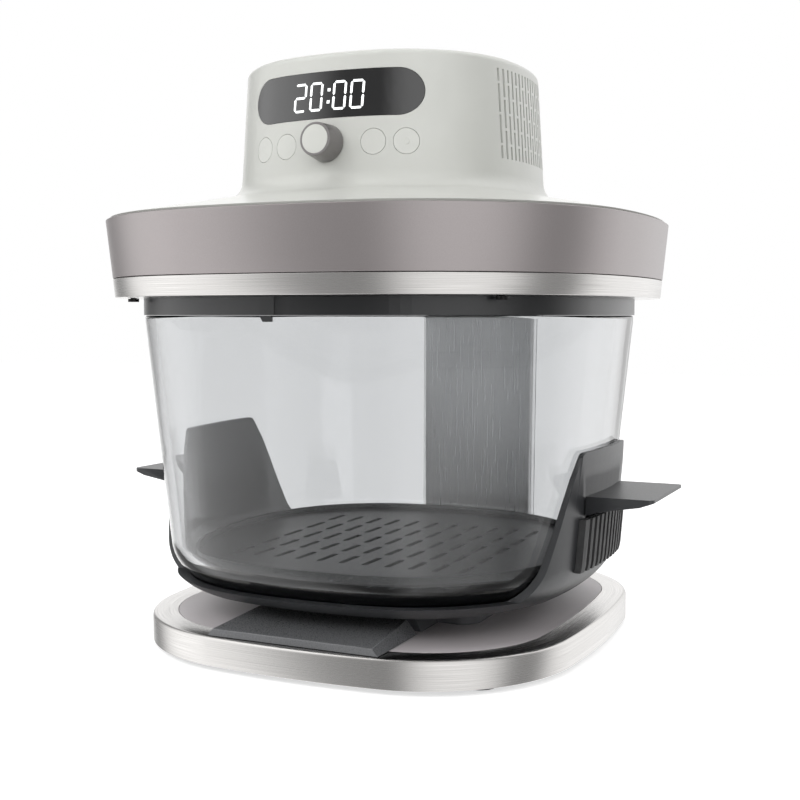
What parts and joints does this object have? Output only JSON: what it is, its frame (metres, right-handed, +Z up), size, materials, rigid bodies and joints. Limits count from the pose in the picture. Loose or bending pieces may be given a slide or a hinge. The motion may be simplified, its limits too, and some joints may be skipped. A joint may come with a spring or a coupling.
{
  "type": "glass air fryer",
  "caption": "Countertop air fryer with a heating head on a rear column over a thick square glass container that rests on a lever-lowered dock in a flat steel base.",
  "frame": {"origin": "middle of the whole object's outline, on the table under the feet", "axes": "+Z up, -Y towards the user (display, knob and lever side), +X to the user's right"},
  "size_m": [0.31, 0.3005, 0.307],
  "materials": {
    "aluminised_steel": "plain",
    "black_plastic": "satin",
    "black_rubber": "matt",
    "black_silicone": "satin",
    "blackened_steel": "black oxide",
    "brushed_steel": "brushed along the rim",
    "circuit_board": "lacquered",
    "clear_glass": "polished",
    "clear_silicone": "satin",
    "dark_grey_plastic": "satin",
    "grey_satin_paint": "satin metallic paint",
    "grey_satin_plastic": "fine matt grain",
    "heater_sheath": "oxidised",
    "mineral_fibre": "matted",
    "nonstick_steel": "non-stick coating",
    "pale_gloss_plastic": "semi-gloss",
    "pressed_steel": "plain",
    "satin_steel_sheet": "satin",
    "smoked_window": "polished",
    "warm_white_plastic": "semi-gloss",
    "white_nylon": "plain",
    "zinc_steel": "zinc plated"
  },
  "bodies": {
    "housing": {"base_feet": "black_rubber", "base_inlay": "grey_satin_plastic", "base_ring": "brushed_steel", "base_screws": "zinc_steel", "base_tray": "black_plastic", "column_back": "black_plastic", "column_front": "satin_steel_sheet", "column_screws": "zinc_steel", "column_spine": "pressed_steel", "cord_gland": "black_rubber", "display_board": "circuit_board", "display_lens": "smoked_window", "encoder": "pressed_steel", "head_chassis": "pressed_steel", "head_housing": "warm_white_plastic", "head_screws": "blackened_steel", "heater_clips": "pressed_steel", "heater_guard": "aluminised_steel", "heating_element": "heater_sheath", "insulation": "mineral_fibre", "key_board": "circuit_board", "motor": "pressed_steel", "motor_bracket": "pressed_steel", "power_board": "circuit_board", "reflector_bowl": "aluminised_steel", "rim_carrier": "black_plastic", "rim_gasket": "black_silicone", "satin_ring": "grey_satin_paint", "steel_trim": "brushed_steel", "temperature_probe": "zinc_steel", "vent_screen_left": "black_plastic", "vent_screen_right": "black_plastic"},
    "lever": {"pull_lever": "dark_grey_plastic", "ramp_frame": "black_plastic"},
    "dock": {"dock": "dark_grey_plastic", "dock_followers": "white_nylon"},
    "container": {"glass_container": "clear_glass", "cradle": "dark_grey_plastic", "glass_pads": "clear_silicone", "grip_left": "black_rubber", "grip_right": "black_rubber", "interlock_key": "black_plastic"},
    "crisper": {"crisper_plate": "nonstick_steel", "crisper_feet": "black_silicone"},
    "knob": {"knob_body": "grey_satin_paint", "knob_cap": "pale_gloss_plastic"},
    "rotor": {"motor_shaft": "pressed_steel", "convection_fan": "aluminised_steel", "cooling_fan": "black_plastic"},
    "power_button": {"power_button": "pale_gloss_plastic"},
    "mode_button": {"mode_button": "pale_gloss_plastic"},
    "timer_button": {"timer_button": "pale_gloss_plastic"},
    "start_button": {"start_button": "pale_gloss_plastic"}
  },
  "joints": [
    {"name": "lever_pull", "type": "slide", "parent": "housing", "child": "lever", "axis": [0, -1, 0], "range_m": [0, 0.02]},
    {"name": "dock_drop", "type": "slide", "parent": "housing", "child": "dock", "axis": [0, 0, -1], "range_m": [0, 0.004]},
    {"name": "container_pull", "type": "slide", "parent": "dock", "child": "container", "axis": [0, -1, 0], "range_m": [0, 0.28]},
    {"name": "crisper_lift", "type": "slide", "parent": "container", "child": "crisper", "axis": [0, 0, 1], "range_m": [0, 0.12]},
    {"name": "knob_turn", "type": "hinge", "parent": "housing", "child": "knob", "pos_m": [0, -0.08115, 0.2614], "axis": [0, -0.9978, 0.0657], "continuous": true},
    {"name": "rotor_spin", "type": "hinge", "parent": "housing", "child": "rotor", "pos_m": [0, -0.00275, 0.24], "axis": [0, 0, 1], "continuous": true},
    {"name": "power_press", "type": "slide", "parent": "housing", "child": "power_button", "axis": [0.2929, 0.9538, -0.0666], "range_m": [0, 0.0008], "stiffness_N_per_m": 700, "springref_m": -0.0008},
    {"name": "mode_press", "type": "slide", "parent": "housing", "child": "mode_button", "axis": [0.1772, 0.982, -0.066], "range_m": [0, 0.0008], "stiffness_N_per_m": 700, "springref_m": -0.0008},
    {"name": "timer_press", "type": "slide", "parent": "housing", "child": "timer_button", "axis": [-0.1772, 0.982, -0.066], "range_m": [0, 0.0008], "stiffness_N_per_m": 700, "springref_m": -0.0008},
    {"name": "start_press", "type": "slide", "parent": "housing", "child": "start_button", "axis": [-0.2929, 0.9538, -0.0666], "range_m": [0, 0.0008], "stiffness_N_per_m": 700, "springref_m": -0.0008}
  ],
  "couplings": [
    {"joint": "dock_drop", "follows": "lever_pull", "ratio": 0.2}
  ]
}
